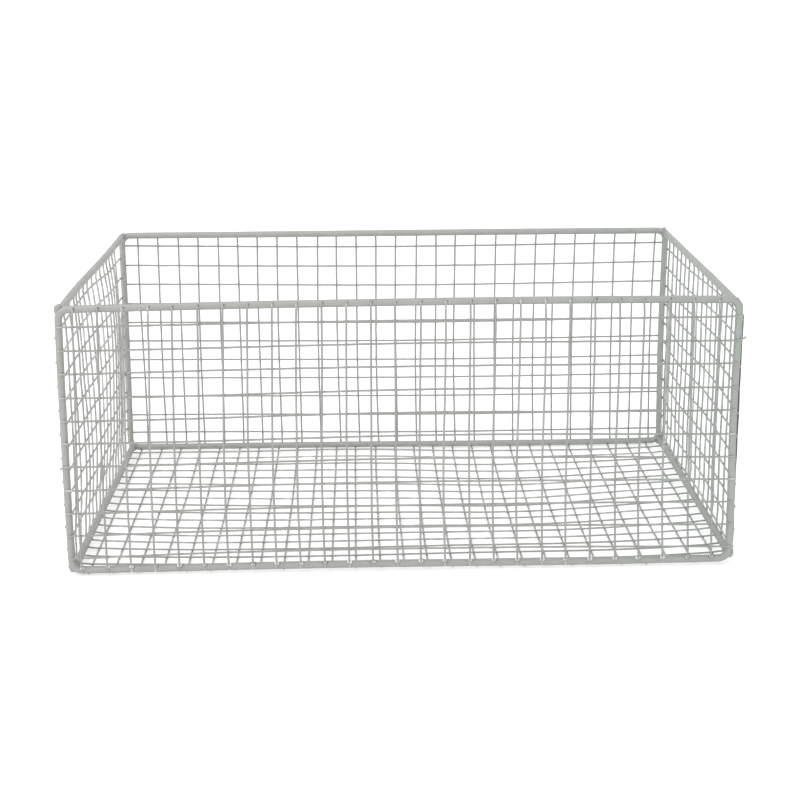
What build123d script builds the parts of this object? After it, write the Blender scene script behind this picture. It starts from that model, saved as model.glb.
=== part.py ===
from build123d import *

import os
from math import floor

# Wire locker basket. Two frames are bent from one round rod each and stand upright at
# the front and at the back. Four straight side rods join their corners, each end held by
# a weld. Five flat sheets of welded wire close the front, the back, both sides and the
# bottom, and the top is open.
#
# X runs along the front, Y from front to back and Z up. The origin is on the surface
# that the basket stands on, under its middle.

# Rod frames
frame_width = 523.9  # between the axes of a frame's two uprights
frame_height = 211.8  # between the axes of a frame's top and bottom runs
frame_depth = 323.5  # between the planes of the two frames
rod_diameter = 6.0
bend_radius = 8.0  # of the rod's axis, at each corner of a frame

# Side rods
top_side_rod_drop = 2.0  # its axis below the axis of a frame's top run

# Welds at the ends of the side rods
weld_collar = 1.0  # thickness of the weld around the side rod
weld_leg = 2.6  # length of side rod that the weld covers
weld_bulge_share = 0.62  # of collar and leg, where the middle of the weld's face lies

# Wire sheets
wire_diameter = 1.4
wire_seat = 0.02  # weld metal between two pieces that touch
wire_overhang = 1.5  # of a wire's end, past the axis of the rod that it is welded to

# First wire of each layer, from the axis of the left or front rod, or of the bottom one,
# and the distance from each wire to the next
front_first_upright = 9.8
front_upright_pitch = 19.15
front_first_crosswire = 11.3
front_crosswire_pitch = 18.8
back_first_upright = 14.9
back_upright_pitch = 19.18
back_first_crosswire = 13.1
back_crosswire_pitch = 18.73
left_first_upright = 1.0
left_upright_pitch = 19.02
left_first_crosswire = 16.4
left_crosswire_pitch = 19.1
right_first_upright = 5.3
right_upright_pitch = 19.6
right_first_crosswire = 6.0
right_crosswire_pitch = 18.83
bottom_first_depth_wire = 12.35
bottom_depth_wire_pitch = 19.23
bottom_first_width_wire = 9.0
bottom_width_wire_pitch = 18.45

# Least distance from a layer's last wire to the axis of the rod beside it
edge_clearance = 3.9

rod_radius = rod_diameter / 2
wire_radius = wire_diameter / 2
half_width = frame_width / 2
half_depth = frame_depth / 2

# The two layers of a sheet: the inner one lies on the rods, the outer one on the inner.
inner_layer = rod_radius + wire_seat + wire_radius
outer_layer = inner_layer + wire_diameter + wire_seat

# Heights. The depth wires of the bottom sheet stand on the surface, and the frames on
# them. The width wires lie on the depth wires, and carry the lower side rods.
depth_wire_z = wire_radius
width_wire_z = depth_wire_z + wire_diameter + wire_seat
frame_bottom_z = depth_wire_z + inner_layer
frame_top_z = frame_bottom_z + frame_height
bottom_side_rod_z = width_wire_z + inner_layer
top_side_rod_z = frame_top_z - top_side_rod_drop
side_rod_z = {"top": top_side_rod_z, "bottom": bottom_side_rod_z}

side_rod_length = frame_depth - 2 * (rod_radius + wire_seat)
side_height = frame_height - top_side_rod_drop  # up to the top side rods


def wire_places(first, pitch, span):
    """Distances of a layer's wires from the rod where they start."""
    count = 1 + floor((span - edge_clearance - first) / pitch)
    return [first + pitch * i for i in range(count)]


def rod_frame(y):
    """One frame: a round rod bent to a closed loop with four rounded corners."""
    middle = Plane.XZ.offset(-y)
    with BuildPart() as frame:
        with BuildLine(middle):
            path = FilletPolyline(
                (half_width, frame_bottom_z),
                (half_width, frame_top_z),
                (-half_width, frame_top_z),
                (-half_width, frame_bottom_z),
                radius=bend_radius,
                close=True,
            )
        with BuildSketch(Plane(origin=path @ 0, z_dir=path % 0)):
            Circle(rod_radius)
        sweep(path=path)
    return frame.part


def side_rod(x, z):
    """One straight rod between the two frames, cut square at both ends."""
    with BuildPart() as rod:
        with BuildSketch(Plane.XZ.offset(-side_rod_length / 2)):
            with Locations((x, z)):
                Circle(rod_radius)
        extrude(amount=side_rod_length)
    return rod.part


def corner_weld(x, z, y, inward, frame, rod):
    """The weld round a side rod's end: a crowned collar fitted to the frame's bend."""
    foot = rod_radius + weld_collar
    crest = rod_radius + weld_leg
    middle_radius = rod_radius + weld_collar * weld_bulge_share
    middle_height = rod_radius + weld_leg * weld_bulge_share
    section = Plane(origin=(x, y, z), x_dir=(1, 0, 0), z_dir=(0, 0, inward))
    with BuildPart() as weld:
        with BuildSketch(section):
            with BuildLine():
                Polyline((0, crest), (0, 0), (foot, 0), (foot, rod_radius / 2))
                ThreePointArc(
                    (foot, rod_radius / 2),
                    (middle_radius, middle_height),
                    (rod_radius, crest),
                )
                Line((rod_radius, crest), (0, crest))
            make_face()
        revolve(axis=Axis((x, y, z), (0, inward, 0)))
        add(frame, mode=Mode.SUBTRACT)
        add(rod, mode=Mode.SUBTRACT)
    return weld.part


def standing_wires(places, bottom, top):
    """Upright wires, each a round bar from one height to the other."""
    with BuildPart() as wires:
        with BuildSketch(Plane.XY.offset(bottom)):
            with Locations(*places):
                Circle(wire_radius)
        extrude(amount=top - bottom)
    return wires.part


def width_wires(places):
    """Wires along X, each past the rods at both ends. A place is (y, z)."""
    reach = half_width + wire_overhang
    with BuildPart() as wires:
        with BuildSketch(Plane.YZ.offset(-reach)):
            with Locations(*places):
                Circle(wire_radius)
        extrude(amount=2 * reach)
    return wires.part


def depth_wires(places):
    """Wires along Y, each past the rods at both ends. A place is (x, z)."""
    reach = half_depth + wire_overhang
    with BuildPart() as wires:
        with BuildSketch(Plane.XZ.offset(-reach)):
            with Locations(*places):
                Circle(wire_radius)
        extrude(amount=2 * reach)
    return wires.part


def x_rows(first, pitch):
    """X of the wires that stand side by side from the left to the right."""
    return [p - half_width for p in wire_places(first, pitch, frame_width)]


def y_rows(first, pitch):
    """Y of the wires that stand one behind the other from the front to the back."""
    return [p - half_depth for p in wire_places(first, pitch, frame_depth)]


def z_rows(first, pitch, span):
    """Z of the wires that lie one above the other in an upright sheet."""
    return [p + frame_bottom_z for p in wire_places(first, pitch, span)]


pieces = {}

# Frames and side rods
pieces["front_frame"] = rod_frame(-half_depth)
pieces["back_frame"] = rod_frame(half_depth)
for side, x in (("left", -half_width), ("right", half_width)):
    for level, z in side_rod_z.items():
        pieces[f"{level}_{side}_side_rod"] = side_rod(x, z)

# Welds, two on each side rod
for side, x in (("left", -half_width), ("right", half_width)):
    for level, z in side_rod_z.items():
        rod = pieces[f"{level}_{side}_side_rod"]
        for end, y, inward in (("front", -half_depth, 1), ("back", half_depth, -1)):
            pieces[f"{end}_{level}_{side}_weld"] = corner_weld(
                x, z, y, inward, pieces[f"{end}_frame"], rod
            )

# Front and back sheets: the crosswires lie on the frame, the uprights outside them.
frame_wire_ends = (frame_bottom_z - wire_overhang, frame_top_z + wire_overhang)
front_xs = x_rows(front_first_upright, front_upright_pitch)
front_zs = z_rows(front_first_crosswire, front_crosswire_pitch, frame_height)
back_xs = x_rows(back_first_upright, back_upright_pitch)
back_zs = z_rows(back_first_crosswire, back_crosswire_pitch, frame_height)
for end, way, xs, zs in (
    ("front", -1, front_xs, front_zs),
    ("back", 1, back_xs, back_zs),
):
    upright_y = way * (half_depth + outer_layer)
    crosswire_y = way * (half_depth + inner_layer)
    pieces[f"{end}_sheet_uprights"] = standing_wires(
        [(x, upright_y) for x in xs], *frame_wire_ends
    )
    pieces[f"{end}_sheet_crosswires"] = width_wires([(crosswire_y, z) for z in zs])

# Side sheets: the crosswires lie on the frames, the uprights outside them.
side_wire_ends = (bottom_side_rod_z - wire_overhang, top_side_rod_z + wire_overhang)
left_ys = y_rows(left_first_upright, left_upright_pitch)
left_zs = z_rows(left_first_crosswire, left_crosswire_pitch, side_height)
right_ys = y_rows(right_first_upright, right_upright_pitch)
right_zs = z_rows(right_first_crosswire, right_crosswire_pitch, side_height)
for side, way, ys, zs in (
    ("left", -1, left_ys, left_zs),
    ("right", 1, right_ys, right_zs),
):
    upright_x = way * (half_width + outer_layer)
    crosswire_x = way * (half_width + inner_layer)
    pieces[f"{side}_sheet_uprights"] = standing_wires(
        [(upright_x, y) for y in ys], *side_wire_ends
    )
    pieces[f"{side}_sheet_crosswires"] = depth_wires([(crosswire_x, z) for z in zs])

# Bottom sheet: the depth wires lie under the frames, the width wires on top of them.
bottom_xs = x_rows(bottom_first_depth_wire, bottom_depth_wire_pitch)
bottom_ys = y_rows(bottom_first_width_wire, bottom_width_wire_pitch)
pieces["bottom_sheet_depth_wires"] = depth_wires([(x, depth_wire_z) for x in bottom_xs])
pieces["bottom_sheet_width_wires"] = width_wires([(y, width_wire_z) for y in bottom_ys])

os.makedirs("parts", exist_ok=True)
for label, part in pieces.items():
    part.label = label
    export_step(part, f"parts/{label}.step")
    print(f"{label}: {len(part.solids())} solids, {part.volume:.1f} mm3")
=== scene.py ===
"""Wire locker basket: the dressed model.

The basket is made again piece by piece as the real one is: two frames bent from round rod,
four side rods, the welds that hold them, and five sheets of thin welded wire.  Each piece
stands in for the plain solid of the same name and adds what a well used basket has: rods
that bow, a box that is a little out of square, wires that wave, drops of weld metal
wherever a wire meets a rod, and dull zinc plating.

Sizes are in millimetres until a point goes into a mesh, which is in metres.
"""

import logging
import math
from collections.abc import Callable
from dataclasses import dataclass, field
from enum import Enum
from itertools import product

import bpy
import numpy as np
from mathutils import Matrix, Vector


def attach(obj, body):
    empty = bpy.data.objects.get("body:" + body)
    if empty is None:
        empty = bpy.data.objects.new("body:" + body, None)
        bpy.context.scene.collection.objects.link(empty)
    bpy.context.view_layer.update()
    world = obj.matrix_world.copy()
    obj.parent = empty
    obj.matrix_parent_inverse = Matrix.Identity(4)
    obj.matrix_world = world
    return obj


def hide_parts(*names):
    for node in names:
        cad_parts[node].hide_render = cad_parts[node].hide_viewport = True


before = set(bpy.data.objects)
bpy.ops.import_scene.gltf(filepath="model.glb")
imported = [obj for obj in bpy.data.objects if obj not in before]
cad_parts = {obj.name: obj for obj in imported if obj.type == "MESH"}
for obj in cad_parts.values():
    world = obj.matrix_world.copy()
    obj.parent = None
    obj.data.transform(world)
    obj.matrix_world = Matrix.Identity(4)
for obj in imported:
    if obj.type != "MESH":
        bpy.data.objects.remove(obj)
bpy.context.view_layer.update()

log = logging.getLogger("wire_basket")

Thing = bpy.types.Object
Tree = bpy.types.NodeTree
Socket = bpy.types.NodeSocket
Pair = tuple[float, float]
Triple = tuple[float, float, float]

MM = 0.001  # metres


class Side(Enum):
    """Left or right end of the basket, as seen from the front."""

    LEFT = -1
    RIGHT = 1


class End(Enum):
    """Front or back of the basket."""

    FRONT = -1
    BACK = 1


class Level(Enum):
    """Lower or upper edge of the basket."""

    BOTTOM = 0
    TOP = 1


def set_mode(mode: str) -> None:
    """Open the active object for editing with EDIT, or close it with OBJECT."""
    bpy.ops.object.mode_set(mode=mode)


def clear_selection() -> None:
    """Leave edit mode and deselect everything, the plain solids too."""
    if bpy.context.object and bpy.context.object.mode != "OBJECT":
        set_mode("OBJECT")
    bpy.ops.object.select_all(action="DESELECT")


def pick_only(obj: Thing) -> None:
    """Select one object alone and make it the active one."""
    clear_selection()
    obj.select_set(True)
    bpy.context.view_layer.objects.active = obj


def read_points(obj: Thing) -> np.ndarray:
    """The object's vertices in millimetres, one row each."""
    flat = np.empty(len(obj.data.vertices) * 3)
    obj.data.vertices.foreach_get("co", flat)
    return flat.reshape(-1, 3) / MM


def write_points(obj: Thing, points: np.ndarray) -> None:
    """Put the object's vertices at these places, given in millimetres."""
    obj.data.vertices.foreach_set("co", (points * MM).ravel())
    obj.data.update()


def copy_of(obj: Thing) -> Thing:
    """A copy with its own mesh, linked beside the first."""
    twin = obj.copy()
    twin.data = obj.data.copy()
    bpy.context.collection.objects.link(twin)
    return twin


def join_all(parts: list[Thing], name: str) -> Thing:
    """Join finished parts into one named object at the origin.

    Args:
        parts: The objects to join.
        name: Name of the piece.

    Returns:
        The joined object.
    """
    clear_selection()
    for part in parts:
        part.select_set(True)
    bpy.context.view_layer.objects.active = parts[0]
    if len(parts) > 1:
        bpy.ops.object.join()
    piece = bpy.context.object
    bpy.ops.object.transform_apply(location=True, rotation=True, scale=True)
    piece.name = piece.data.name = name
    return piece


def face_outwards(obj: Thing) -> None:
    """Turn every face of the closed shells outwards."""
    pick_only(obj)
    set_mode("EDIT")
    bpy.ops.mesh.select_all(action="SELECT")
    bpy.ops.mesh.normals_make_consistent(inside=False)
    set_mode("OBJECT")


def pick_edges(bar: Thing, wanted: Callable[[float, float], bool]) -> None:
    """Select some edges of a bar along Z and leave it open for editing.

    Args:
        bar: The bar.
        wanted: Tells from an edge's lower and upper height whether it is selected.
    """
    set_mode("EDIT")
    bpy.ops.mesh.select_mode(type="EDGE")
    bpy.ops.mesh.select_all(action="DESELECT")
    set_mode("OBJECT")
    heights = read_points(bar)[:, 2]
    for edge in bar.data.edges:
        edge.select = bool(wanted(*sorted(heights[v] for v in edge.vertices)))
    set_mode("EDIT")


def straight_bar(radius: float, length: float, sides: int, rings: int, chamfer: float) -> Thing:
    """A round bar along Z from the origin, with chamfered ends and rings along it.

    Args:
        radius: Radius in millimetres.
        length: Length in millimetres.
        sides: Number of flats round it.
        rings: Number of rings cut between its ends.
        chamfer: Width of the chamfer at each end, in millimetres.

    Returns:
        The bar.
    """
    slack = 0.01
    clear_selection()
    bpy.ops.mesh.primitive_cylinder_add(
        vertices=sides, radius=radius * MM, depth=length * MM,
        end_fill_type="NGON", location=(0, 0, length * MM / 2),
    )
    bar = bpy.context.object
    bpy.ops.object.transform_apply(location=True, rotation=True, scale=True)
    pick_edges(bar, lambda low, high: high - low > length / 2)
    bpy.ops.mesh.subdivide(number_cuts=rings)
    pick_edges(bar, lambda low, high: high < slack or low > length - slack)
    bpy.ops.mesh.bevel(offset=chamfer * MM, segments=1, affect="EDGES")
    set_mode("OBJECT")
    return bar


def modify(obj: Thing, kind: str, **settings: object) -> None:
    """Give an object a modifier with these settings and apply it.

    Args:
        obj: The object.
        kind: The modifier's type.
        settings: Its settings, by name.
    """
    pick_only(obj)
    change = obj.modifiers.new(kind.lower(), kind)
    for name, value in settings.items():
        setattr(change, name, value)
    bpy.ops.object.modifier_apply(modifier=change.name)


def roughen(obj: Thing, size_mm: float, height_mm: float, name: str) -> None:
    """Give a surface the shallow lumps of plating over a hand ground rod.

    Args:
        obj: The piece.
        size_mm: Width of a lump.
        height_mm: Full height from hollow to crest.
        name: Name of the noise.
    """
    noise = bpy.data.textures.new(name, type="CLOUDS")
    noise.noise_scale = size_mm * MM
    noise.noise_depth = 1
    looks = {"texture": noise, "texture_coords": "LOCAL", "mid_level": 0.5}
    modify(obj, "DISPLACE", strength=height_mm * MM, **looks)


def give_tone(obj: Thing, tones: np.ndarray | float) -> None:
    """Mark the plating's tone and painted light: 1 is a painted highlight, -1 painted shade.

    Args:
        obj: The mesh to mark.
        tones: One number for all of it, or one for each vertex.
    """
    values = np.full(len(obj.data.vertices), 0.0) + tones
    mark = obj.data.attributes.new("tone", "FLOAT", "POINT")
    mark.data.foreach_set("value", values)


def fill_input(tree: Tree, socket: Socket, value: float | tuple | Socket) -> None:
    """Set a node's input to a value, or link another node's output to it.

    Args:
        tree: The node tree.
        socket: The input.
        value: The value or the output.
    """
    if isinstance(value, Socket):
        tree.links.new(value, socket)
    else:
        socket.default_value = value


def add_node(tree: Tree, kind: str, **inputs: float | tuple | Socket) -> bpy.types.Node:
    """Add a shader node and set or link its inputs.

    Args:
        tree: The node tree.
        kind: The node's type, without ShaderNode before it.
        inputs: Values or other nodes' outputs, by the inputs' names with _ for a blank.

    Returns:
        The node.
    """
    node = tree.nodes.new(f"ShaderNode{kind}")
    for name, value in inputs.items():
        fill_input(tree, node.inputs[name.replace("_", " ")], value)
    return node


def add_maths(tree: Tree, operation: str, *terms: float | Socket) -> Socket:
    """Add a maths node.

    Args:
        tree: The node tree.
        operation: What the node works out.
        terms: Numbers or other nodes' outputs, in order.

    Returns:
        The node's output.
    """
    node = tree.nodes.new("ShaderNodeMath")
    node.operation = operation
    for socket, term in zip(node.inputs, terms):
        fill_input(tree, socket, term)
    return node.outputs["Value"]


@dataclass(frozen=True)
class ZincFinish:
    """Dull zinc plating: grey metal with a faint green cast, mottled and finely pitted.

    The mottle has light and dark patches.  A piece's own tone, partly random and partly painted
    light, moves them towards a painted highlight at a tone of 1, or painted shade at -1.  The
    basket's right end is cooler.
    """

    name: str
    light: Triple
    dark: Triple
    # The next two colours are the ramp's ends for painted light: nearly white for a painted
    # highlight, nearly black for painted shade.
    painted_highlight: Triple = (0.97, 0.97, 0.96)
    painted_shade: Triple = (0.13, 0.13, 0.125)
    cool: Triple = (0.955, 1.0, 0.985)
    cool_from_m: float = 0.08
    cool_to_m: float = 0.25
    metallic: float = 0.35
    roughness: float = 0.52
    mottle_per_m: float = 70.0
    mottle_spread: float = 0.6
    dark_at: float = 0.38
    light_at: float = 0.62
    tone_reach: float = 0.5
    pit_per_m: float = 900.0
    pit_depth_mm: float = 0.03
    pit_strength: float = 0.35

    def material(self) -> bpy.types.Material:
        """The plating as a material, made once."""
        made = bpy.data.materials.get(self.name)
        return made if made else self._build()

    def _build(self) -> bpy.types.Material:
        """Lay the nodes of the plating.

        Returns:
            The new material.
        """
        plating = bpy.data.materials.new(self.name)
        plating.use_nodes = True
        tree = plating.node_tree
        place = add_node(tree, "TexCoord").outputs["Object"]
        pits = add_node(tree, "TexNoise", Vector=place, Scale=self.pit_per_m, Detail=3.0)
        relief = add_node(
            tree, "Bump", Strength=self.pit_strength, Distance=self.pit_depth_mm * MM,
            Height=pits.outputs["Fac"],
        )
        rightwards = add_node(tree, "SeparateXYZ", Vector=place).outputs["X"]
        cooler = add_node(
            tree, "MapRange", Value=rightwards,
            From_Min=self.cool_from_m, From_Max=self.cool_to_m,
        )
        cast = tree.nodes.new("ShaderNodeMix")
        cast.data_type = "RGBA"
        cast.blend_type = "MULTIPLY"
        fill_input(tree, cast.inputs["Factor"], cooler.outputs["Result"])
        fill_input(tree, cast.inputs["A"], self._mottled(tree, place))
        fill_input(tree, cast.inputs["B"], (*self.cool, 1.0))
        shader = tree.nodes["Principled BSDF"]
        fill_input(tree, shader.inputs["Base Color"], cast.outputs["Result"])
        fill_input(tree, shader.inputs["Metallic"], self.metallic)
        fill_input(tree, shader.inputs["Roughness"], self.roughness)
        fill_input(tree, shader.inputs["Normal"], relief.outputs["Normal"])
        return plating

    def _mottled(self, tree: Tree, place: Socket) -> Socket:
        """Colour of the patches, moved up or down by the piece's tone and its painted light.

        Args:
            tree: The node tree.
            place: Where a point of the surface is.

        Returns:
            The colour's output.
        """
        mottle = add_node(
            tree, "TexNoise", Vector=place, Scale=self.mottle_per_m, Detail=4.0, Roughness=0.6
        )
        patches, own_tone = mottle.outputs["Fac"], add_node(tree, "Attribute")
        own_tone.attribute_name = "tone"
        lowest = 0.5 - self.mottle_spread / 2
        spread = add_maths(tree, "MULTIPLY_ADD", patches, self.mottle_spread, lowest)
        tone = own_tone.outputs["Fac"]
        ramp = add_node(
            tree, "ValToRGB", Fac=add_maths(tree, "MULTIPLY_ADD", tone, self.tone_reach, spread)
        )
        ramp.color_ramp.elements.new(self.dark_at)
        ramp.color_ramp.elements.new(self.light_at)
        # The first and last stops are painted shade and a painted highlight.
        stops = (
            (0.0, self.painted_shade), (self.dark_at, self.dark),
            (self.light_at, self.light), (1.0, self.painted_highlight),
        )
        for element, (position, colour) in zip(ramp.color_ramp.elements, stops):
            element.position = position
            element.color = (*colour, 1.0)
        return ramp.outputs["Color"]


ROD_ZINC = ZincFinish("rod_zinc", light=(0.475, 0.48, 0.46), dark=(0.42, 0.425, 0.405))
WIRE_ZINC = ZincFinish(
    "wire_zinc", light=(0.45, 0.453, 0.435), dark=(0.385, 0.388, 0.372), mottle_per_m=110.0
)
WELD_ZINC = ZincFinish(
    "weld_zinc", light=(0.46, 0.465, 0.445), dark=(0.37, 0.375, 0.36), mottle_per_m=260.0
)


def hand_over(piece: Thing, node: str, finish: ZincFinish) -> None:
    """Dress a finished piece and let it stand in for its plain solid.

    Args:
        piece: The finished mesh.
        node: The plain solid that it replaces.
        finish: The plating that it wears.
    """
    piece.data.materials.clear()
    piece.data.materials.append(finish.material())
    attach(piece, "root")
    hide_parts(node)
    log.info("%s: %d faces", piece.name, len(piece.data.polygons))


def wave(share: np.ndarray, heights: tuple[float, ...]) -> np.ndarray:
    """Waves of one, two, three and more halves along a rod or wire.

    Args:
        share: Place along it, from 0 to 1.
        heights: Height of each wave.

    Returns:
        The sum of the waves at each place.
    """
    held = np.clip(share, 0.0, 1.0)
    return sum(h * np.sin((i + 1) * math.pi * held) for i, h in enumerate(heights))


@dataclass(frozen=True)
class BoxShape:
    """The box that the rods' axes follow, and how far the used basket is from it.

    Width, depth and height are between the axes of the rods.  The inner layer of a sheet
    lies on the rods and the outer one on the inner, each a weld film off what it lies on.
    The frames stand on the bottom sheet's outer layer, the lower side rods on its inner one.

    A corner is shifted by X, Y and Z.  Bows are waves along a rod: upwards for the frames'
    runs, rightwards for their posts and the side rods.  These tables go through front and
    back, left and right, low and high, the last of them fastest.  A side rod is also welded
    off its place by X and Z in front and at the back, and arches.  The left sheet's dent is
    waves from its lower edge up times waves from front to back, in millimetres.
    """

    width: float = 523.9
    depth: float = 323.5
    height: float = 211.8
    rod_radius: float = 3.0
    bend_radius: float = 8.0
    high_rail_drop: float = 2.0
    wire_radius: float = 0.7
    plated_wire_radius: float = 0.82
    weld_film: float = 0.02
    wire_overhang: float = 1.5
    half_width: float = width / 2
    half_depth: float = depth / 2
    inner_layer: float = rod_radius + weld_film + wire_radius
    outer_layer: float = inner_layer + 2 * wire_radius + weld_film
    low: float = wire_radius + inner_layer
    high: float = low + height
    low_rail: float = wire_radius + outer_layer
    high_rail: float = high - high_rail_drop
    corner_shifts: tuple[Triple, ...] = (
        (-0.7, 0.0, 0.0), (0.9, 1.3, 0.2), (-0.1, 0.0, 1.1), (-0.4, 1.3, 1.2),
        (3.3, 0.0, 1.1), (5.4, 1.3, -0.4), (1.5, 0.0, 0.0), (1.1, 1.3, -1.7),
    )
    run_bows: tuple = ((0.4, 0.5, -0.2), (1.9, -0.1, 0.1), (-0.5, 0.4, -0.1), (0.1, -0.1))
    post_bows: tuple = ((-0.7, 0.0, -0.1), (-0.8, 0.3, 0.2), (0.4,), (-1.1, 0.0, 0.1))
    rail_bows: tuple = ((0.4, -0.3, 0.1), (0.0, -0.9, -0.2), (0.6, 0.1, 0.1), (0.5, 0.3, 0.1))
    rails_off: tuple = (
        (Side.LEFT, Level.TOP, (0.0, -0.3), (0.0, 0.7), 0.6),
        (Side.LEFT, Level.BOTTOM, (1.4, 0.0), (1.9, 0.0), 0.0),
        (Side.RIGHT, Level.TOP, (0.0, -3.3), (0.0, -0.2), 0.0),
        (Side.RIGHT, Level.BOTTOM, (0.9, 1.2), (0.5, 0.0), 0.0),
    )
    dent_up: tuple = (1.0, 0.0, 0.15)
    dent_back: tuple = (6.1, -0.8, 1.2, 0.0, 0.4)

    def rail_height(self, level: Level) -> float:
        """Height of a side rod's axis."""
        return self.high_rail if level is Level.TOP else self.low_rail

    def shares(self, points: np.ndarray) -> tuple[np.ndarray, np.ndarray, np.ndarray]:
        """Where points are in the box: rightwards, backwards and upwards, from 0 to 1."""
        return (
            (points[:, 0] + self.half_width) / self.width,
            (points[:, 1] + self.half_depth) / self.depth,
            (points[:, 2] - self.low) / self.height,
        )

    def settle(self, points: np.ndarray) -> np.ndarray:
        """Move points of the true box to where the used basket has them.

        Args:
            points: Rows of X, Y and Z in millimetres.

        Returns:
            The moved points.
        """
        x, y, z = self.shares(points)
        ends, sides, levels = (1 - y, y), (1 - x, x), (1 - z, z)
        moved = points.copy()
        for (end, side, level), shift in zip(product(ends, sides, levels), self.corner_shifts):
            moved += (end * side * level)[:, None] * np.array(shift)
        for (end, level), bow in zip(product(ends, levels), self.run_bows):
            moved[:, 2] += end * level * wave(x, bow)
        for (end, side), bow in zip(product(ends, sides), self.post_bows):
            moved[:, 0] += end * side * wave(z, bow)
        for (side, level), bow in zip(product(sides, levels), self.rail_bows):
            moved[:, 0] += side * level * wave(y, bow)
        return moved

    def dent(self, points: np.ndarray) -> np.ndarray:
        """How far the left sheet is pushed in: with its lower rod, and in waves.

        Args:
            points: Rows of X, Y and Z in millimetres.

        Returns:
            One length for each point, to the right.
        """
        _, y, z = (np.clip(share, 0.0, 1.0) for share in self.shares(points))
        front, back, _ = self.rail_ends(Side.LEFT, Level.BOTTOM)
        lower_rod = front[0] * (1.0 - y) + back[0] * y
        low_edge = np.sqrt(wave(y, (1.0,)).clip(0.0)) * lower_rod * (1.0 - z)
        return low_edge + wave(z, self.dent_up) * wave(y, self.dent_back)

    def rail_ends(self, side: Side, level: Level) -> tuple:
        """How far a side rod is off: X and Z in front, X and Z at the back, its arch."""
        return next(row[2:] for row in self.rails_off if row[:2] == (side, level))

    def settle_rail(self, side: Side, level: Level, points: np.ndarray) -> np.ndarray:
        """Move points of a side rod, or of a weld on it, to where the basket has them.

        Args:
            side: The rod's side.
            level: The rod's level.
            points: Rows of X, Y and Z in millimetres.

        Returns:
            The moved points.
        """
        front, back, arch = self.rail_ends(side, level)
        share = np.clip(self.shares(points)[1], 0.0, 1.0)
        moved = self.settle(points)
        moved[:, 0] += front[0] * (1 - share) + back[0] * share
        moved[:, 2] += front[1] * (1 - share) + back[1] * share + wave(share, (arch,))
        return moved


BOX = BoxShape()


@dataclass
class RodFrame:
    """One frame: a rod bent to a rectangle with four rounded corners, its ends welded."""

    end: End
    run_step: float = 8.0
    bend_steps: int = 7
    bevel_steps: int = 6
    lump_size: float = 22.0
    lump_height: float = 0.22

    def route(self) -> np.ndarray:
        """Points of the rod's axis, once round the frame.

        Returns:
            Rows of X, Y and Z.
        """
        r = BOX.bend_radius
        w, low, high = BOX.half_width, BOX.low, BOX.high
        middles = (
            (w - r, high - r, 0.0), (-w + r, high - r, 90.0),
            (-w + r, low + r, 180.0), (w - r, low + r, 270.0),
        )
        arcs = []
        for x, z, first in middles:
            turns = np.radians(np.linspace(first, first + 90.0, self.bend_steps + 1))
            arcs.append(np.column_stack((x + r * np.cos(turns), z + r * np.sin(turns))))
        line = []
        for arc, following in zip(arcs, arcs[1:] + arcs[:1]):
            pieces = round(math.dist(arc[-1], following[0]) / self.run_step)
            line += [arc, np.linspace(arc[-1], following[0], pieces + 1)[1:-1]]
        x, z = np.concatenate(line).T
        return np.column_stack((x, np.full_like(x, self.end.value * BOX.half_depth), z))

    def build(self) -> None:
        """Bend the rod, settle it and give it its lumps."""
        node = f"{self.end.name.lower()}_frame"
        route = self.route()
        clear_selection()
        bpy.ops.curve.primitive_nurbs_path_add(radius=1.0)
        rod = bpy.context.object
        set_mode("EDIT")
        bpy.ops.curve.select_all(action="SELECT")
        bpy.ops.curve.spline_type_set(type="POLY")
        set_mode("OBJECT")
        spline = rod.data.splines[0]
        spline.points.add(len(route) - len(spline.points))
        for point, place in zip(spline.points, route):
            point.co = (*(place * MM), 1.0)
            point.radius = 1.0
        spline.use_cyclic_u = True
        rod.data.dimensions = "3D"
        rod.data.twist_mode = "MINIMUM"
        rod.data.bevel_depth = BOX.rod_radius * MM
        rod.data.bevel_resolution = self.bevel_steps
        pick_only(rod)
        bpy.ops.object.convert(target="MESH")
        bent = join_all([bpy.context.object], f"{node}_bent_rod")
        write_points(bent, BOX.settle(read_points(bent)))
        face_outwards(bent)
        roughen(bent, self.lump_size, self.lump_height, f"{node}_lumps")
        bpy.ops.object.shade_smooth()
        hand_over(bent, node, ROD_ZINC)


@dataclass
class SideRod:
    """One straight rod between the frames, its cut ends hidden in the welds."""

    side: Side
    level: Level
    sides: int = 16
    rings: int = 40
    end_chamfer: float = 0.35
    crease_degrees: float = 50.0
    lump_size: float = 22.0
    lump_height: float = 0.22

    def build(self) -> None:
        """Cut the rod to length, settle it and give it its lumps."""
        node = f"{self.level.name.lower()}_{self.side.name.lower()}_side_rod"
        length = BOX.depth - 2 * (BOX.rod_radius + BOX.weld_film)
        rod = straight_bar(BOX.rod_radius, length, self.sides, self.rings, self.end_chamfer)
        points = read_points(rod)
        x = points[:, 0] + self.side.value * BOX.half_width
        y = points[:, 2] - length / 2
        z = BOX.rail_height(self.level) - points[:, 1]
        laid = np.column_stack((x, y, z))
        write_points(rod, BOX.settle_rail(self.side, self.level, laid))
        piece = join_all([rod], f"{node}_bar")
        face_outwards(piece)
        roughen(piece, self.lump_size, self.lump_height, f"{node}_lumps")
        bpy.ops.object.shade_smooth_by_angle(angle=math.radians(self.crease_degrees))
        hand_over(piece, node, ROD_ZINC)


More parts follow.
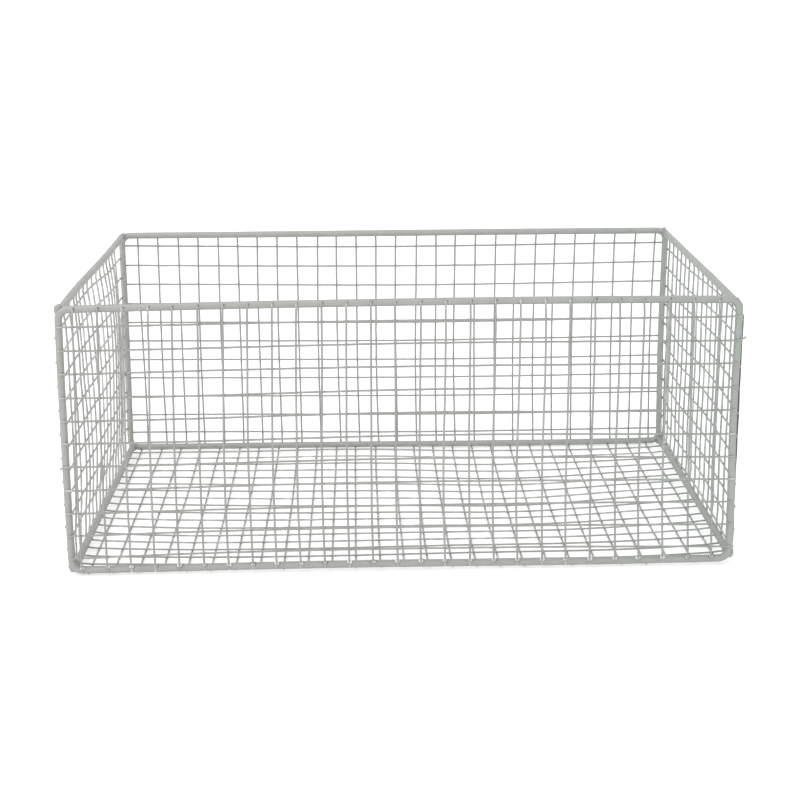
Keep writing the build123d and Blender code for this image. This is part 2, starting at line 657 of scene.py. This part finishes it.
# Drops of weld at a corner: place from the rods' crossing and half sizes.  The first two
# groups tell the place outwards, inwards along the side rod and away from the basket's
# middle height, the third to the right, inwards and up.
COLLAR_BEADS = (
    ((0.0, 2.2, 0.0), (3.2, 3.2, 3.2)),
    ((0.1, 4.0, -0.4), (3.4, 2.0, 3.4)),
)
PLAIN_BEADS = (
    ((-1.6, 2.0, 2.6), (2.5, 2.3, 1.9)),
    ((1.7, 1.9, -2.3), (2.2, 2.2, 2.2)),
)
OWN_BEADS = {
    (End.FRONT, Side.LEFT, Level.TOP): (
        ((0.6, 1.6, 4.1), (2.5, 2.3, 2.4)),
        ((-0.8, 1.7, 3.2), (2.6, 2.2, 2.4)),
        ((-1.4, 1.8, 1.2), (2.4, 2.2, 2.6)),
    ),
    (End.FRONT, Side.LEFT, Level.BOTTOM): (
        ((-2.4, 1.4, 1.2), (2.7, 2.4, 2.7)),
        ((2.6, 1.4, 3.4), (2.4, 2.2, 2.8)),
        ((-1.6, 1.2, -1.7), (2.1, 1.8, 1.9)),
        ((1.6, 1.6, -1.8), (2.4, 2.2, 2.0)),
    ),
    (End.FRONT, Side.RIGHT, Level.TOP): (
        ((-1.6, 1.6, 4.0), (2.2, 2.3, 2.4)),
        ((-0.9, 1.8, 2.4), (2.4, 2.2, 2.4)),
    ),
    (End.FRONT, Side.RIGHT, Level.BOTTOM): (
        ((1.5, 1.4, 6.2), (2.0, 2.0, 2.2)),
        ((0.6, 1.4, 0.4), (2.9, 2.0, 2.4)),
        ((-4.4, 1.6, -1.8), (2.6, 2.0, 2.0)),
    ),
    (End.BACK, Side.RIGHT, Level.TOP): (
        ((-1.8, 2.0, 3.2), (2.3, 2.3, 2.6)),
        ((-4.2, 1.9, 1.6), (2.8, 2.0, 2.0)),
    ),
}


@dataclass
class CornerWeld:
    """The weld that holds one end of a side rod in a frame's corner."""

    end: End
    side: Side
    level: Level
    grain: float = 0.42
    ease: float = 0.6
    ease_rounds: int = 6
    lump_size: float = 2.6
    lump_height: float = 0.7

    def beads(self) -> list[tuple]:
        """Drops of weld metal: place from the rods' crossing, and half sizes."""
        out = self.side.value
        turn = 1 if self.level is Level.TOP else -1
        own = OWN_BEADS.get((self.end, self.side, self.level), ())
        shared = COLLAR_BEADS if own else COLLAR_BEADS + PLAIN_BEADS
        return [((x * out, y, z * turn), sizes) for (x, y, z), sizes in shared] + list(own)

    def build(self) -> None:
        """Drop the beads, melt them into one lump and settle it."""
        end, level, side = (part.name.lower() for part in (self.end, self.level, self.side))
        node = f"{end}_{level}_{side}_weld"
        x, y = self.side.value * BOX.half_width, self.end.value * BOX.half_depth
        middle = np.array((x, y, BOX.rail_height(self.level)))
        drops = []
        for (right, inward, up), sizes in self.beads():
            clear_selection()
            spot = middle + np.array((right, -self.end.value * inward, up))
            bpy.ops.mesh.primitive_uv_sphere_add(
                segments=20, ring_count=12, radius=1.0, location=tuple(spot * MM)
            )
            bpy.context.object.scale = tuple(s * MM for s in sizes)
            drops.append(bpy.context.object)
        lump = join_all(drops, f"{node}_bead")
        modify(lump, "REMESH", mode="VOXEL", voxel_size=self.grain * MM)
        modify(lump, "SMOOTH", factor=self.ease, iterations=self.ease_rounds)
        roughen(lump, self.lump_size, self.lump_height, f"{node}_lumps")
        write_points(lump, BOX.settle_rail(self.side, self.level, read_points(lump)))
        face_outwards(lump)
        bpy.ops.object.shade_smooth()
        hand_over(lump, node, WELD_ZINC)


@dataclass(frozen=True)
class Drop:
    """A drop of weld metal on a wire, or a dark spot beside it that is painted shadow.

    Long, wide and high are half sizes along the wire, across it and off the rod.  Lift,
    along and aside place its middle from the rod's axis at the seat.  Taper makes it wider
    towards the wire's far end.  Tone paints it lighter, as a painted highlight, or darker, as
    painted shade.
    """

    long: float = 1.8
    wide: float = 1.0
    high: float = 0.7
    lift: float = 3.0
    along: float = 0.0
    aside: float = 0.0
    taper: float = 0.0
    tone: float = 0.0


@dataclass(frozen=True)
class Seat:
    """Where the wires of a layer meet a rod.

    At is the distance of the rod's axis from the wire's first end, press how far the wire is
    pressed from its layer towards the rod, vary how much that differs up or down, and fade
    the length over which the wire comes back.  Slide is how far the rod is off there, at the
    layer's first and last wire, and tone how much lighter the wire is painted on it, a painted
    highlight where it stands proud of the rod.
    """

    at: float
    press: float = 0.3
    vary: float = 0.0
    fade: float = 9.0
    slide: Pair = (0.0, 0.0)
    tone: float = 0.0
    drops: tuple[Drop, ...] = (Drop(),)


@dataclass(frozen=True)
class Row:
    """The wires of one layer, and how they leave their straight places, in millimetres.

    First is the distance of the first wire from the rod where the row starts.  Near and far
    are how far off a wire is at its ends, waves the heights of its waves of one, two, three
    and more halves.  Each is told for wires spread evenly over the row, first to last, and
    runs straight from one of them to the next.  Own is the most that a wire adds to a term
    by chance, and less to the finer waves.  Hidden is how far off the first wire is, all
    along, where it hides behind a post.
    """

    count: int
    first: float
    pitch: float
    near: tuple[float, ...]
    far: tuple[float, ...]
    waves: tuple[tuple[float, ...], ...]
    own: float = 0.5
    hidden: float = 0.0

    def crossings(self, start: float) -> list[float]:
        """Where the wires cross a wire that starts this far before the row's rod."""
        return [self.first + self.pitch * i + start for i in range(self.count)]

    def sideways(self, index: int, share: np.ndarray, seed: int) -> np.ndarray:
        """How far off one wire is along its length.

        Args:
            index: Number of the wire in the row.
            share: Places along the wire, from 0 to 1.
            seed: Seed of what the wire adds by chance.

        Returns:
            One distance for each place along the wire.
        """
        if self.hidden and index == 0:
            return np.full_like(share, self.hidden)
        place = index / (self.count - 1)
        chance = np.random.default_rng(seed)
        terms = []
        for rank, told in enumerate((self.near, self.far, *self.waves)):
            most = self.own / max(1, rank - 1)
            term = np.interp(place, np.linspace(0.0, 1.0, len(told)), told)
            terms.append(float(term) + chance.uniform(-most, most))
        near, far, *heights = terms
        return near * (1 - share) + far * share + wave(share, tuple(heights))


@dataclass
class WireLayer:
    """One layer of a sheet: parallel wires, each with its own waves and weld drops.

    Start is where a wire would start that lies at the row's rod, and run leads from there to
    its last end.  Crossings are places on a wire from its first end, and stand is how far
    the wires are from the rods' axes.  Near and far ends are extra length of the row's first
    and last wire, longer that of single wires, and tails the slopes of those.
    """

    node: str
    row: Row
    start: np.ndarray
    run: np.ndarray
    across: np.ndarray
    outward: np.ndarray
    crossings: list[float]
    seats: list[Seat]
    stand: float
    seed: int
    near_ends: Pair = (0.0, 0.0)
    far_ends: Pair = (0.0, 0.0)
    longer: dict[int, Pair] = field(default_factory=dict)
    tails: dict[int, Pair] = field(default_factory=dict)
    tones: dict[int, float] = field(default_factory=dict)
    base_tone: float = 0.0
    own_tone: float = 0.12
    tone_fade: float = 3.0
    sides: int = 8
    end_chamfer: float = 0.16
    swell: float = 0.08  # share by which a wire is thicker at a crossing
    swell_length: float = 0.9
    ripple: float = 0.10
    ripple_lengths: Pair = (14.0, 60.0)
    flat_on_rod: float = 2.6
    crease_degrees: float = 60.0
    dented: bool = False

    @property
    def length(self) -> float:
        """Length of a wire without its extra ends."""
        return float(np.linalg.norm(self.run))

    def directions(self) -> tuple[np.ndarray, np.ndarray, np.ndarray]:
        """Unit vectors along the wires, to the next wire and off the rods."""
        return self.run / self.length, self.across, self.outward

    def between(self, ends: Pair, index: int) -> float:
        """A wire's value between the values at the row's first and last wire."""
        t = index / (self.row.count - 1)
        return ends[0] * (1 - t) + ends[1] * t

    def seat_place(self, seat: Seat, index: int) -> float:
        """Distance of the seat from the first end of one wire."""
        return seat.at + self.between(seat.slide, index)

    def seat_press(self, seat: Seat, index: int) -> float:
        """How far one wire is pressed towards the rod at the seat."""
        chance = np.random.default_rng([self.seed, index, int(seat.at)])
        return seat.press + chance.uniform(-seat.vary, seat.vary)

    def stations(self) -> np.ndarray:
        """Places of the rings along a wire, closer where something happens.

        Returns:
            Distances from its first end.
        """
        seat_marks = (-13.0, -9.0, -5.5, -2.4, 0.0, 2.4, 5.5, 9.0, 13.0)
        crossing_marks = (-1.3, 0.0, 1.3)
        least_gap, least_last_gap = 0.55, 0.5
        marks = [seat.at + mark for seat in self.seats for mark in seat_marks]
        marks += [place + mark for place in self.crossings for mark in crossing_marks]
        marks += [(a + b) / 2 for a, b in zip(self.crossings, self.crossings[1:])]
        kept = [0.0]
        for mark in sorted(m for m in marks if 0.0 < m < self.length):
            if mark - kept[-1] > least_gap:
                kept.append(mark)
        if self.length - kept[-1] < least_last_gap:
            kept.pop()
        return np.array([*kept, self.length])

    def model_wire(self) -> tuple[Thing, np.ndarray]:
        """Model the layer's wire once, straight, with a ring at each station.

        Returns:
            The wire and its points.
        """
        stations = self.stations()
        wire = straight_bar(
            BOX.plated_wire_radius, self.length, self.sides, len(stations) - 2, self.end_chamfer
        )
        points = read_points(wire)
        even = np.linspace(0.0, self.length, len(stations))
        end_zone = 2 * self.end_chamfer
        inner = (points[:, 2] > end_zone) & (points[:, 2] < self.length - end_zone)
        points[inner, 2] = np.interp(points[inner, 2], even, stations)
        write_points(wire, points)
        return wire, points

    def ripples(self, along: np.ndarray, chance: np.random.Generator) -> list[np.ndarray]:
        """Small waves of a wire, to the next wire and off the rods.

        Args:
            along: Distances from its first end.
            chance: Source of the random draws.

        Returns:
            Two heights for each distance.
        """
        lengths = chance.uniform(*self.ripple_lengths, 4)
        turns = chance.uniform(0.0, 2 * math.pi, (2, 4))
        sizes = chance.uniform(0.3, 1.0, 4) * self.ripple / 2
        pace = 2 * math.pi * along[:, None] / lengths
        return [(sizes * np.sin(pace + phases)).sum(axis=1) for phases in turns]

    def pressed(self, index: int, along: np.ndarray) -> np.ndarray:
        """How far one wire is pressed towards the rods along its length.

        Args:
            index: Number of the wire in its row.
            along: Distances from its first end.

        Returns:
            One depth for each distance.
        """
        total = np.zeros_like(along)
        for seat in self.seats:
            off = np.abs(along - self.seat_place(seat, index))
            reach = np.clip((off - self.flat_on_rod) / seat.fade, 0.0, 1.0)
            total += self.seat_press(seat, index) * (0.5 + 0.5 * np.cos(math.pi * reach))
        return total

    def axis_points(self, index: int, along: np.ndarray) -> np.ndarray:
        """Middle line of one wire in the used basket.

        Args:
            index: Number of the wire in its row.
            along: Distances from its first end, in millimetres.

        Returns:
            One point for each distance.
        """
        ahead, side, outward = self.directions()
        seed = self.seed * 100 + index
        sideways = self.row.sideways(index, along / self.length, seed)
        before, after = self.tails.get(index, (0.0, 0.0))
        sideways = sideways + before * np.clip(-along, 0.0, None)
        sideways += after * np.clip(along - self.length, 0.0, None)
        ripple, rise = self.ripples(along, np.random.default_rng(seed))
        place = self.start + (self.row.first + self.row.pitch * index) * side
        straight = place + along[:, None] * ahead
        settled = BOX.settle(straight)
        if self.dented:
            settled[:, 0] += BOX.dent(straight)
        settled += (sideways + ripple)[:, None] * side
        settled -= (self.pressed(index, along) + rise)[:, None] * outward
        return settled

    def lay_wire(self, wire: Thing, points: np.ndarray, index: int) -> Thing:
        """Bend a copy of the model wire to the shape of one wire of the sheet.

        Args:
            wire: The straight model wire.
            points: Its points.
            index: Number of the wire in its row.

        Returns:
            The bent copy.
        """
        ahead, side, _ = self.directions()
        before, after = self.longer.get(index, (0.0, 0.0))
        before += self.between(self.near_ends, index)
        after += self.between(self.far_ends, index)
        along = points[:, 2] * (self.length + before + after) / self.length - before
        size = np.ones_like(along)
        for place in self.crossings:
            size += self.swell * np.exp(-(((along - place) / self.swell_length) ** 2))
        chance = np.random.default_rng([self.seed, index])
        own = self.tones.get(index, chance.uniform(-self.own_tone, self.own_tone))
        # tones holds the wire's own random tone plus the painted highlight near each seat.
        tones = np.full_like(along, self.base_tone + own)
        for seat in self.seats:
            off = along - self.seat_place(seat, index)
            tones += seat.tone * np.exp(-((off / self.tone_fade) ** 2))
        bent = (
            self.axis_points(index, along)
            + (points[:, 0] * size)[:, None] * side
            + (points[:, 1] * size)[:, None] * np.cross(ahead, side)
        )
        copy = copy_of(wire)
        write_points(copy, bent)
        give_tone(copy, tones)
        return copy

    def model_bead(self) -> tuple[Thing, np.ndarray]:
        """Model one drop of weld, a little flat, and give its points for half sizes of 1."""
        clear_selection()
        bpy.ops.mesh.primitive_uv_sphere_add(segments=8, ring_count=5, radius=1.0)
        bead = bpy.context.object
        set_mode("EDIT")
        bpy.ops.mesh.select_all(action="SELECT")
        bpy.ops.transform.resize(value=(1.0, 1.0, 0.92))
        bpy.ops.mesh.vertices_smooth(factor=0.25)
        set_mode("OBJECT")
        return bead, read_points(bead) * MM

    def drop_beads(self) -> list[Thing]:
        """Put the drops of weld wherever a wire of the layer meets a rod.

        Returns:
            The drops.
        """
        bead, ball = self.model_bead()
        ahead, side, outward = self.directions()
        chance = np.random.default_rng(self.seed)
        beads = []
        for index in range(self.row.count):
            for seat in self.seats:
                place = self.seat_place(seat, index)
                wire_lift = self.stand - self.seat_press(seat, index)
                axis = self.axis_points(index, np.array([place]))[0] - wire_lift * outward
                for drop in seat.drops:
                    grow = chance.uniform(0.8, 1.2, 3)
                    nudge = chance.uniform(-0.25, 0.25, 2)
                    middle = (
                        axis
                        + drop.lift * outward
                        + (drop.along + nudge[0]) * ahead
                        + (drop.aside + nudge[1]) * side
                    )
                    width = drop.wide * grow[1] * (1 + drop.taper * ball[:, 0])
                    shape = (
                        middle
                        + (ball[:, 0] * drop.long * grow[0])[:, None] * ahead
                        + (ball[:, 1] * width)[:, None] * side
                        + (ball[:, 2] * drop.high * grow[2])[:, None] * outward
                    )
                    twin = copy_of(bead)
                    write_points(twin, shape)
                    # A drop's tone paints it light as a painted highlight or dark as painted
                    # shade.
                    give_tone(twin, drop.tone * chance.uniform(0.7, 1.1))
                    beads.append(twin)
        bpy.data.objects.remove(bead)
        return beads

    def build(self) -> None:
        """Model the wire, lay every copy of it and weld it down."""
        wire, points = self.model_wire()
        laid = [self.lay_wire(wire, points, i) for i in range(self.row.count)]
        bpy.data.objects.remove(wire)
        layer = join_all(laid + self.drop_beads(), f"{self.node}_waved")
        face_outwards(layer)
        bpy.ops.object.shade_smooth_by_angle(angle=math.radians(self.crease_degrees))
        hand_over(layer, self.node, WIRE_ZINC)


RIGHTWARDS, BACKWARDS, UPWARDS = np.eye(3)


@dataclass
class StandingSheet:
    """An upright sheet: crosswires on the frames' posts, uprights outside them.

    Seats are where the uprights meet the lower rod and the upper one, and the seed is that of
    the uprights; the crosswires have the next.  Lowered is how much lower the uprights end
    than their overhang.  First ends and post drops are the crosswires' extra length and weld
    metal at their first post, longer and tails those of single crosswires at both posts.
    """

    place: End | Side
    uprights: Row
    crosswires: Row
    seats: tuple[Seat, Seat]
    seed: int
    lowered: float = 0.0
    first_ends: float = 0.0
    longer: dict[int, Pair] = field(default_factory=dict)
    tails: dict[int, Pair] = field(default_factory=dict)
    post_drops: tuple[Drop, ...] = (Drop(),)
    post_tone: float = 0.0
    upright_tones: dict[int, float] = field(default_factory=dict)
    base_tone: float = 0.0
    dented: bool = False

    def build(self) -> None:
        """Build the uprights and the crosswires."""
        name = self.place.name.lower()
        over = BOX.wire_overhang
        if isinstance(self.place, End):
            across, half_span, low = RIGHTWARDS, BOX.half_width, BOX.low
            outward, half_reach = self.place.value * BACKWARDS, BOX.half_depth
        else:
            across, half_span, low = BACKWARDS, BOX.half_depth, BOX.low_rail
            outward, half_reach = self.place.value * RIGHTWARDS, BOX.half_width
        corner = half_reach * outward - half_span * across
        rise = self.seats[1].slide
        shared = {"outward": outward, "base_tone": self.base_tone, "dented": self.dented}
        WireLayer(
            node=f"{name}_sheet_uprights",
            row=self.uprights,
            start=corner + BOX.outer_layer * outward + (low - over) * UPWARDS,
            run=(self.seats[1].at + over) * UPWARDS,
            across=across,
            crossings=self.crosswires.crossings(over - (low - BOX.low)),
            seats=list(self.seats),
            stand=BOX.outer_layer,
            far_ends=(rise[0] - self.lowered, rise[1] - self.lowered),
            tones=self.upright_tones,
            seed=self.seed,
            **shared,
        ).build()
        WireLayer(
            node=f"{name}_sheet_crosswires",
            row=self.crosswires,
            start=corner + BOX.inner_layer * outward - over * across + BOX.low * UPWARDS,
            run=(2 * half_span + 2 * over) * across,
            across=UPWARDS,
            crossings=self.uprights.crossings(over),
            seats=[
                Seat(at=over, tone=self.post_tone, drops=self.post_drops),
                Seat(at=2 * half_span + over, tone=self.post_tone),
            ],
            stand=BOX.inner_layer,
            near_ends=(self.first_ends, self.first_ends),
            longer=self.longer,
            tails=self.tails,
            seed=self.seed + 1,
            **shared,
        ).build()


def side_seats(side: Side, foot_press: float) -> tuple[Seat, Seat]:
    """Where a side sheet's uprights meet the lower side rod and the upper one.

    Args:
        side: The sheet's side.
        foot_press: How far the uprights are pressed towards the lower rod.

    Returns:
        The two seats.
    """
    front, back, _ = BOX.rail_ends(side, Level.TOP)
    head = Drop(long=1.5, wide=0.95, high=0.45, lift=2.9, along=-1.4)
    upper = BOX.high_rail - BOX.low_rail + BOX.wire_overhang
    return (
        Seat(at=BOX.wire_overhang, press=foot_press, fade=14.0),
        Seat(at=upper, press=1.7, slide=(front[1], back[1]), drops=(head,)),
    )


@dataclass
class BottomSheet:
    """The bottom: depth wires under the frames, width wires on them, under the side rods."""

    depth_wires: Row
    width_wires: Row
    seed: int
    base_tone: float = 0.24
    front_ends: float = -0.5
    width_wire_ripple: float = 0.06

    def build(self) -> None:
        """Build the depth wires and the width wires."""
        over = BOX.wire_overhang
        width_wires_up = BOX.low_rail - BOX.inner_layer
        WireLayer(
            node="bottom_sheet_depth_wires",
            row=self.depth_wires,
            start=np.array((-BOX.half_width, -BOX.half_depth - over, BOX.low - BOX.inner_layer)),
            run=(BOX.depth + 2 * over) * BACKWARDS,
            across=RIGHTWARDS,
            outward=-UPWARDS,
            crossings=self.width_wires.crossings(over),
            seats=[
                Seat(at=over, press=1.2, vary=0.3, drops=(Drop(lift=2.2, along=1.4, high=0.9),)),
                Seat(at=BOX.depth + over, press=0.8, drops=(Drop(lift=2.5, along=-0.6),)),
            ],
            stand=BOX.inner_layer,
            near_ends=(self.front_ends, self.front_ends),
            base_tone=self.base_tone,
            seed=self.seed,
        ).build()
        WireLayer(
            node="bottom_sheet_width_wires",
            row=self.width_wires,
            start=np.array((-BOX.half_width - over, -BOX.half_depth, width_wires_up)),
            run=(BOX.width + 2 * over) * RIGHTWARDS,
            across=BACKWARDS,
            outward=-UPWARDS,
            crossings=self.depth_wires.crossings(over),
            seats=[Seat(at=over, press=0.5), Seat(at=BOX.width + over, press=0.5)],
            stand=BOX.inner_layer,
            ripple=self.width_wire_ripple,
            base_tone=self.base_tone,
            seed=self.seed + 1,
        ).build()


FOOT = BOX.wire_overhang
HEAD = BOX.height + BOX.wire_overhang

FRONT_SHEET = StandingSheet(
    place=End.FRONT,
    uprights=Row(
        count=27, first=9.8, pitch=19.15,
        near=(-1.1, -0.4, -0.4, 0.0, 2.0),
        far=(1.9, 0.7, -0.7, -0.7, -0.5),
        waves=((-0.3, -0.4, -0.3, -0.2, -0.8), (-0.3, -0.5, -0.9), (0.2, -0.1, -0.1)),
    ),
    crosswires=Row(
        count=11, first=11.3, pitch=18.8,
        near=(-0.3, 0.3, -0.5),
        far=(0.1, -0.1, -0.1),
        waves=((2.9, 1.7, 1.0, 0.2, -0.8), (0.0, -0.5, 0.1), (0.4, -0.4, -0.1)),
    ),
    seats=(
        # The wires are painted lighter where they cross the lower run, a painted highlight; the
        # first drop is painted nearly white, a painted highlight on the weld, and the wider dark
        # one behind it is painted shade round it.
        Seat(
            at=FOOT, press=1.65, tone=0.35,
            drops=(
                Drop(long=1.8, wide=1.9, high=1.5, lift=2.6, along=2.4, taper=0.6, tone=1.25),
                Drop(long=2.5, wide=2.6, high=1.2, lift=1.8, along=1.8, taper=0.5, tone=-0.75),
            ),
        ),
        # Where the uprights stand proud of the upper run they are painted lighter, a painted
        # highlight; the small light drop is a painted highlight and the dark drop beside it
        # painted shadow.
        Seat(
            at=HEAD, press=1.65, tone=0.4,
            drops=(
                Drop(long=1.6, wide=0.9, high=0.5, lift=3.0, along=-0.9, tone=0.35),
                Drop(long=1.1, wide=0.6, high=0.4, lift=2.75, along=1.1, aside=1.2, tone=-0.8),
            ),
        ),
    ),
    longer={4: (2.9, 0.0), 9: (0.0, 4.4)},
    tails={4: (-0.7, 0.0), 9: (0.0, 0.6)},
    # The crosswires are painted lighter where they cross the posts: a painted highlight.
    post_tone=0.35,
    seed=11,
)

BACK_SHEET = StandingSheet(
    place=End.BACK,
    uprights=Row(
        count=27, first=14.9, pitch=19.18,
        near=(1.2, 0.4, 0.2, -0.2, 0.3),
        far=(-0.2, -0.6, -0.7, -0.3, 1.2),
        waves=((-0.8, -0.6, -0.6), (0.2, 0.0, 0.3)),
        own=0.7,
    ),
    crosswires=Row(
        count=11, first=13.1, pitch=18.73,
        near=(0.9, 0.7, 0.8),
        far=(-1.2, -0.5, -1.3),
        waves=((-1.3, -2.2, -1.9), (0.1,), (0.2, 0.2, 0.0)),
    ),
    seats=(Seat(at=FOOT, press=1.65), Seat(at=HEAD, press=1.65)),
    seed=31,
)

LEFT_SHEET = StandingSheet(
    place=Side.LEFT,
    uprights=Row(
        count=17, first=1.0, pitch=19.02,
        near=(-5.0, -9.0, -3.5, -7.5, -9.0, -16.5, -16.0, -17.0, -15.5),
        far=(-13.0, 7.0, 12.5, -4.0, -8.5, -6.0, -5.5, -9.0, -8.0),
        waves=(
            (7.0, 12.0, 12.5, 14.5, 8.5),
            (-0.5, 3.5, 3.5, -3.5, -0.5),
            (2.5, 2.5, -0.5, 0.0, 1.0),
            (-0.5, -0.3, 0.0, 1.0, 0.3),
            (1.2,),
        ),
        own=0.8,
        hidden=15.5,
    ),
    crosswires=Row(
        count=10, first=16.4, pitch=19.1,
        near=(0.6, -0.9, -0.7, -0.2, 0.4),
        far=(2.2, 0.6, 0.0, 0.5, 0.9),
        waves=(
            (8.3, 9.8, 9.2, 8.9, 8.0),
            (-1.6, -1.2, -1.2, 0.0, 1.2),
            (2.6, 2.0, -0.1),
            (0.5, -0.4, 0.0),
            (0.5,),
        ),
        own=0.2,
    ),
    seats=side_seats(Side.LEFT, foot_press=1.45),
    lowered=1.8,
    first_ends=-2.5,
    post_drops=(Drop(high=0.5, lift=2.6, along=0.4),),
    base_tone=0.30,
    dented=True,
    seed=51,
)

RIGHT_SHEET = StandingSheet(
    place=Side.RIGHT,
    uprights=Row(
        count=17, first=5.3, pitch=19.6,
        near=(2.8, 4.0, 3.2, 4.5, 4.4),
        far=(3.0, 4.0, 1.9, 3.0, 3.7),
        waves=(
            (1.0, 0.3, -1.0, 0.0, -0.5),
            (1.9, 2.5, 2.0, 1.0, 1.0),
            (1.7, 1.6, 2.9, 2.8, 2.7),
        ),
        own=1.2,
    ),
    crosswires=Row(
        count=11, first=6.0, pitch=18.83,
        near=(-0.1, -0.4, 1.4, 2.1, 0.7),
        far=(0.4, 1.0, 1.1, 0.7, -1.1),
        waves=((0.1, -0.8, -1.0, -0.1, 0.8), (1.8, 2.8, 1.5), (-1.3, -1.3, 0.1)),
        own=0.2,
    ),
    seats=side_seats(Side.RIGHT, foot_press=1.0),
    lowered=1.8,
    first_ends=-1.0,
    # The first upright, outside the right post, is painted dark: painted shade.
    upright_tones={0: -1.1},
    base_tone=0.22,
    seed=71,
)

BOTTOM_SHEET = BottomSheet(
    depth_wires=Row(
        count=27, first=12.35, pitch=19.23,
        near=(0.5, 1.7, 1.8, 1.6, 4.0),
        far=(-1.2, -1.0, -1.6, -2.1, -1.2),
        waves=((-0.5, -0.1, -1.0, -1.8, -0.2), (0.1, -0.1, -0.4), (-0.2,)),
    ),
    width_wires=Row(
        count=17, first=9.0, pitch=18.45,
        near=(10.5, 8.4, 7.6, 7.0, 7.5),
        far=(11.0, 10.2, 10.3, 7.5, 5.8),
        waves=(
            (-11.0, -18.0, -21.2, -14.3, -1.2),
            (-1.3, -1.2, 2.4, 4.5, 3.5),
            (-1.3, -2.8, -0.9, -1.4, -2.0),
            (1.0, -0.5, -1.1, -1.0, -0.5),
            (-0.4, -0.2, 1.4, 1.5, 0.0),
            (0.1, -0.4, -0.4, -0.1, 0.9),
        ),
    ),
    seed=90,
)


@dataclass
class PlainStudio:
    """White floor and surroundings, soft light from above, and the photograph's camera.

    Places and lengths without a unit in the name are in metres, turns in degrees.  The floor
    glows, and the surroundings are white, only for the camera and in the metal's sheen.
    """

    camera_place: Triple = (-0.030435, -1.391115, 0.488964)
    camera_turn: Triple = (74.20996, 0.454, -1.50971)
    lens_mm: float = 73.96358
    sensor_mm: float = 36.0
    world_light: float = 0.85
    floor_glow: float = 0.42
    floor_size: float = 60.0
    floor_grey: float = 0.9
    floor_roughness: float = 0.9
    key_power: float = 14.0
    key_size: float = 2.0
    key_place: Triple = (-1.2, -0.9, 1.9)
    key_aim: Triple = (0.0, 0.0, 0.1)

    def build(self) -> None:
        """Lay the floor, light it and set up the camera."""
        self._floor()
        self._surroundings()
        self._key_light()
        self._camera()

    def _floor(self) -> None:
        """A wide white floor that keeps the basket's shadow."""
        clear_selection()
        bpy.ops.mesh.primitive_plane_add(size=self.floor_size, location=(0, 0, 0))
        floor = bpy.context.object
        floor.name = "studio_floor"
        paper = bpy.data.materials.new("white_paper")
        paper.use_nodes = True
        tree = paper.node_tree
        grey = self.floor_grey
        looks = {
            "Base Color": (grey, grey, grey, 1.0),
            "Roughness": self.floor_roughness,
            "Specular IOR Level": 0.0,
            "Emission Color": (1.0, 1.0, 1.0, 1.0),
        }
        shader = tree.nodes["Principled BSDF"]
        for name, value in looks.items():
            shader.inputs[name].default_value = value
        rays = add_node(tree, "LightPath").outputs
        seen = add_maths(tree, "MAXIMUM", rays["Is Camera Ray"], rays["Is Glossy Ray"])
        glow = add_maths(tree, "MULTIPLY", seen, self.floor_glow)
        tree.links.new(glow, shader.inputs["Emission Strength"])
        floor.data.materials.append(paper)

    def _surroundings(self) -> None:
        """White for what the camera and the metal see, and a plain light otherwise."""
        world = bpy.data.worlds.new("white_room")
        bpy.context.scene.world = world
        world.use_nodes = True
        tree = world.node_tree
        backdrop = tree.nodes["Background"]
        backdrop.inputs["Color"].default_value = (1.0, 1.0, 1.0, 1.0)
        rays = add_node(tree, "LightPath").outputs
        seen = add_maths(tree, "MAXIMUM", rays["Is Camera Ray"], rays["Is Glossy Ray"])
        passed = add_maths(tree, "MAXIMUM", seen, rays["Is Transmission Ray"])
        level = add_node(tree, "MapRange", Value=passed, To_Min=self.world_light, To_Max=1.0)
        tree.links.new(level.outputs["Result"], backdrop.inputs["Strength"])

    def _key_light(self) -> None:
        """One large soft lamp over the basket, a little to the front left."""
        clear_selection()
        bpy.ops.object.light_add(type="AREA", location=self.key_place)
        lamp = bpy.context.object
        lamp.name = "soft_key_lamp"
        lamp.data.energy = self.key_power
        lamp.data.size = self.key_size
        aim = Vector(self.key_aim) - Vector(self.key_place)
        lamp.rotation_euler = aim.to_track_quat("-Z", "Y").to_euler()

    def _camera(self) -> None:
        """The camera where the photograph was taken from."""
        clear_selection()
        bpy.ops.object.camera_add(location=self.camera_place)
        camera = bpy.context.object
        camera.name = "photograph_camera"
        camera.rotation_euler = tuple(math.radians(a) for a in self.camera_turn)
        camera.data.lens = self.lens_mm
        camera.data.sensor_width = self.sensor_mm
        camera.data.sensor_fit = "HORIZONTAL"
        bpy.context.scene.camera = camera
        bpy.context.scene.view_settings.view_transform = "Standard"


def main() -> None:
    """Build the basket in the order of the bench, then the studio."""
    logging.basicConfig(level=logging.INFO, format="%(name)s: %(message)s")
    for end in End:
        RodFrame(end).build()
    for side, level in product(Side, Level):
        SideRod(side, level).build()
    for end, side, level in product(End, Side, Level):
        CornerWeld(end, side, level).build()
    for sheet in (FRONT_SHEET, BACK_SHEET, LEFT_SHEET, RIGHT_SHEET, BOTTOM_SHEET):
        sheet.build()
    PlainStudio().build()
    log.info("24 pieces dressed")


if __name__ == "__main__":
    main()
